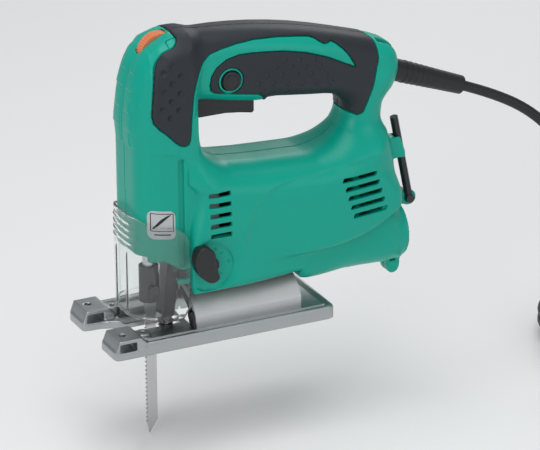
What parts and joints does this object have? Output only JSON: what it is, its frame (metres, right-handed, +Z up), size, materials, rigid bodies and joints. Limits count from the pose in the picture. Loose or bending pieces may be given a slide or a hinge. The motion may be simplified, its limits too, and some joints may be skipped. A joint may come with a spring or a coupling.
{
  "type": "jigsaw power tool",
  "caption": "D-handle orbital jigsaw: moulded housing with soft grip, reciprocating blade behind a clear dust cover, tilting sole with guide windows, speed dial, trigger and power cord.",
  "frame": {"origin": "blade line at the underside of the sole", "axes": "-X cutting direction, +X cord end, -Y tool's left side, +Z up"},
  "size_m": [0.43, 0.1025, 0.2771],
  "materials": {
    "green_plastic": "satin moulded",
    "black_rubber": "fine textured overmould",
    "black_plastic": "satin",
    "clear_plastic": "clear, glossy",
    "cast_aluminium": "die-cast, satin",
    "steel": "machined",
    "pressed_steel": "zinc plated, pressed",
    "dark_steel": "blackened",
    "laminations": "laminated",
    "copper": "enamelled winding",
    "carbon": "sintered",
    "bronze": "sintered",
    "orange_plastic": "satin",
    "cord_rubber": "smooth"
  },
  "bodies": {
    "tool_body": {"housing_left": "green_plastic", "housing_right": "green_plastic", "housing_screws": "dark_steel", "grip_left": "black_rubber", "grip_right": "black_rubber", "field_core": "laminations", "field_coils": "copper", "fan_baffle": "black_plastic", "brush_holders": "bronze", "carbon_brushes": "carbon", "brush_springs": "steel", "rear_bearing_boot": "black_rubber", "front_bearing": "steel", "rear_bearing": "steel", "gear_case": "cast_aluminium", "gear_pin": "steel", "guide_pivot_pin": "steel", "retainer_pivot_pin": "steel", "tilt_clamp_washer": "steel", "trigger_switch": "black_plastic", "speed_controller": "black_plastic", "cord_guard": "cord_rubber", "cord_clamp": "pressed_steel", "power_cord": "cord_rubber", "cord_coil": "cord_rubber", "mains_plug": "black_plastic"},
    "tilt_bolt": {"tilt_clamp_bolt": "dark_steel"},
    "armature": {"armature_shaft": "steel", "armature_core": "laminations", "armature_windings": "copper", "commutator": "copper", "fan": "black_plastic"},
    "crank": {"crank_gear": "steel", "crank_pin": "steel", "crank_roller": "steel"},
    "guide": {"rod_guide": "cast_aluminium", "guide_bushes": "bronze"},
    "rod": {"reciprocating_rod": "steel", "blade_holder": "dark_steel", "saw_blade": "steel"},
    "blade_bolt": {"blade_clamp_bolt": "dark_steel"},
    "retainer": {"roller_retainer": "dark_steel", "roller_pin": "steel"},
    "roller": {"blade_roller": "steel"},
    "sole": {"fence_frame_left": "pressed_steel", "fence_frame_right": "pressed_steel", "sole_rail_left": "pressed_steel", "sole_rail_right": "pressed_steel", "sole_toe_left": "pressed_steel", "sole_toe_right": "pressed_steel", "sole_bridge": "pressed_steel", "sole_heel": "pressed_steel", "tilt_cradle": "pressed_steel", "cradle_end_piece": "black_plastic"},
    "cover": {"dust_cover": "clear_plastic"},
    "trigger_body": {"trigger": "black_plastic"},
    "button": {"lock_button": "black_plastic"},
    "dial": {"speed_dial": "orange_plastic"},
    "lever": {"orbital_lever": "black_plastic"},
    "key": {"hex_key": "dark_steel"}
  },
  "joints": [
    {"name": "armature_spin", "type": "hinge", "parent": "tool_body", "child": "armature", "pos_m": [0.06, 0, 0.076], "axis": [1, 0, 0], "range_deg": [-540, 540]},
    {"name": "crank_spin", "type": "hinge", "parent": "tool_body", "child": "crank", "pos_m": [0.018, 0, 0.0984], "axis": [1, 0, 0], "range_deg": [-90.1, 90.1]},
    {"name": "guide_orbit", "type": "hinge", "parent": "tool_body", "child": "guide", "pos_m": [0, 0, 0.158], "axis": [0, 1, 0], "range_deg": [0, 1.4]},
    {"name": "rod_stroke", "type": "slide", "parent": "guide", "child": "rod", "axis": [0, 0, 1], "range_m": [-0.00901, 0.00901]},
    {"name": "blade_bolt_turn", "type": "hinge", "parent": "rod", "child": "blade_bolt", "pos_m": [0, -0.008, 0.03], "axis": [0, 1, 0], "range_deg": [-180, 0]},
    {"name": "retainer_swing", "type": "hinge", "parent": "tool_body", "child": "retainer", "pos_m": [0.015, 0, 0.0465], "axis": [0, 1, 0], "range_deg": [-0.1, 5.2]},
    {"name": "roller_spin", "type": "hinge", "parent": "retainer", "child": "roller", "pos_m": [0.0094, 0, 0.005], "axis": [0, 1, 0], "continuous": true},
    {"name": "base_tilt", "type": "hinge", "parent": "tool_body", "child": "sole", "pos_m": [0.05, 0, 0], "axis": [1, 0, 0], "range_deg": [-12, 12]},
    {"name": "tilt_bolt_turn", "type": "hinge", "parent": "tool_body", "child": "tilt_bolt", "pos_m": [0.048, 0, 0.03], "axis": [0, 0, 1], "range_deg": [0, 180]},
    {"name": "dust_cover_slide", "type": "slide", "parent": "tool_body", "child": "cover", "axis": [0, 0, 1], "range_m": [0, 0.026]},
    {"name": "trigger_pull", "type": "slide", "parent": "tool_body", "child": "trigger_body", "axis": [0, 0, 1], "range_m": [0, 0.005], "stiffness_N_per_m": 600, "springref_m": -0.003},
    {"name": "lock_button_press", "type": "slide", "parent": "tool_body", "child": "button", "axis": [0, 1, 0], "range_m": [0, 0.003], "stiffness_N_per_m": 500, "springref_m": -0.002},
    {"name": "speed_dial_turn", "type": "hinge", "parent": "tool_body", "child": "dial", "pos_m": [0.009, 0, 0.1875], "axis": [0, 1, 0], "range_deg": [-120, 120]},
    {"name": "orbital_lever_turn", "type": "hinge", "parent": "tool_body", "child": "lever", "pos_m": [0.0295, -0.02, 0.0505], "axis": [0, 1, 0], "range_deg": [0, 90]},
    {"name": "hex_key_swing", "type": "hinge", "parent": "tool_body", "child": "key", "pos_m": [0.183, 0, 0.0605], "axis": [0, 1, 0], "range_deg": [0, 90]}
  ],
  "couplings": [
    {"joint": "crank_spin", "follows": "armature_spin", "ratio": -0.16667},
    {"joint": "rod_stroke", "follows": "armature_spin", "m_per_rad": -0.00095493},
    {"joint": "retainer_swing", "follows": "guide_orbit", "ratio": 3.6}
  ]
}
